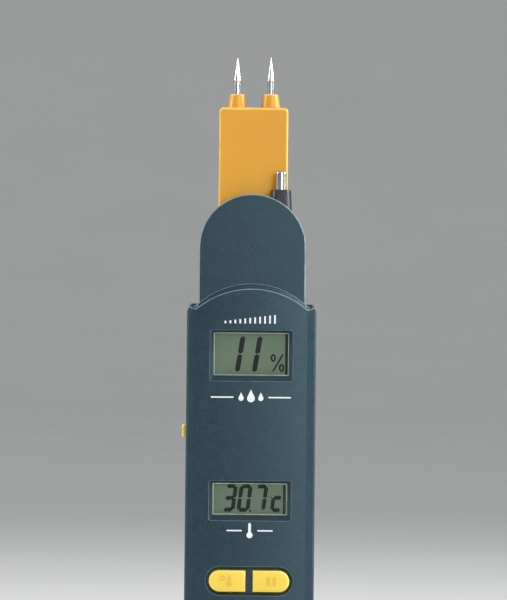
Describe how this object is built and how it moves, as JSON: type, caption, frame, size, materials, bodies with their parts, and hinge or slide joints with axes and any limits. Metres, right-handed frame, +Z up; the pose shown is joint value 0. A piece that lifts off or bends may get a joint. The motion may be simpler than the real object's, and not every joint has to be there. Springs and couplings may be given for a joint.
{
  "type": "moisture meter",
  "caption": "Handheld pin moisture meter with a swivelling measuring head, temperature probe, displays, push buttons, slide switch and battery bay.",
  "frame": {"origin": "middle of the flat bottom end, 150 mm below the head's swivel axis", "axes": "+Z up the meter towards the electrodes, -Y out of the displays, +X to the right seen from the displays"},
  "size_m": [0.0433, 0.0284, 0.2122],
  "materials": {
    "body_plastic": "fine-textured dark slate moulding",
    "head_plastic": "satin amber yellow moulding",
    "button_plastic": "satin light yellow moulding",
    "chrome": "polished plating",
    "steel": "plain spring steel",
    "screw_steel": "zinc-plated screws",
    "brass": "turned brass",
    "clear_window": "clear polycarbonate window",
    "lcd_glass": "grey-green liquid-crystal panel",
    "rubber": "black silicone and lead insulation",
    "circuit_board": "green solder mask",
    "chip": "moulded chip packages",
    "battery_case": "plain grey battery jacket"
  },
  "bodies": {
    "housing": {"front_cover": "body_plastic", "rear_cover": "body_plastic", "pivot_plate": "body_plastic", "sensor_socket": "body_plastic", "sensor_cap": "chrome", "retaining_ring": "steel", "wave_washer": "steel", "key_switch_left": "steel", "key_switch_right": "steel", "power_switch": "steel", "case_screw_1": "screw_steel", "case_screw_2": "screw_steel", "case_screw_3": "screw_steel", "case_screw_4": "screw_steel", "plate_screw_1": "screw_steel", "plate_screw_2": "screw_steel", "plate_screw_3": "screw_steel", "plate_screw_4": "screw_steel", "moisture_window": "clear_window", "temperature_window": "clear_window", "moisture_display": "lcd_glass", "temperature_display": "lcd_glass", "moisture_contact_strip_upper": "rubber", "moisture_contact_strip_lower": "rubber", "temperature_contact_strip_upper": "rubber", "temperature_contact_strip_lower": "rubber", "thermistor": "rubber", "pivot_lead": "rubber", "battery_snap": "rubber", "main_board": "circuit_board", "measuring_chip": "chip", "display_chip": "chip", "battery": "battery_case"},
    "head": {"head_front_shell": "head_plastic", "head_rear_shell": "head_plastic", "head_screw_1": "screw_steel", "head_screw_2": "screw_steel", "detent_ball": "steel", "detent_spring": "steel", "electrode_left": "chrome", "electrode_right": "chrome", "electrode_collar_left": "head_plastic", "electrode_collar_right": "head_plastic", "electrode_socket_left": "brass", "electrode_socket_right": "brass", "electrode_lead_left": "rubber", "electrode_lead_right": "rubber"},
    "unit_button": {"unit_button": "button_plastic"},
    "hold_button": {"hold_button": "button_plastic"},
    "switch_knob": {"switch_knob": "button_plastic"},
    "battery_door": {"battery_door": "body_plastic"}
  },
  "joints": [
    {"name": "head_swivel", "type": "hinge", "parent": "housing", "child": "head", "pos_m": [0, -0.002, 0.15], "axis": [0, 1, 0], "range_deg": [-135, 90]},
    {"name": "unit_button_press", "type": "slide", "parent": "housing", "child": "unit_button", "axis": [0, 1, 0], "range_m": [0, 0.0007], "stiffness_N_per_m": 2000},
    {"name": "hold_button_press", "type": "slide", "parent": "housing", "child": "hold_button", "axis": [0, 1, 0], "range_m": [0, 0.0007], "stiffness_N_per_m": 2000},
    {"name": "power_switch_slide", "type": "slide", "parent": "housing", "child": "switch_knob", "axis": [0, 0, 1], "range_m": [-0.003, 0]},
    {"name": "battery_door_slide", "type": "slide", "parent": "housing", "child": "battery_door", "axis": [0, 0, -1], "range_m": [0, 0.055]}
  ]
}
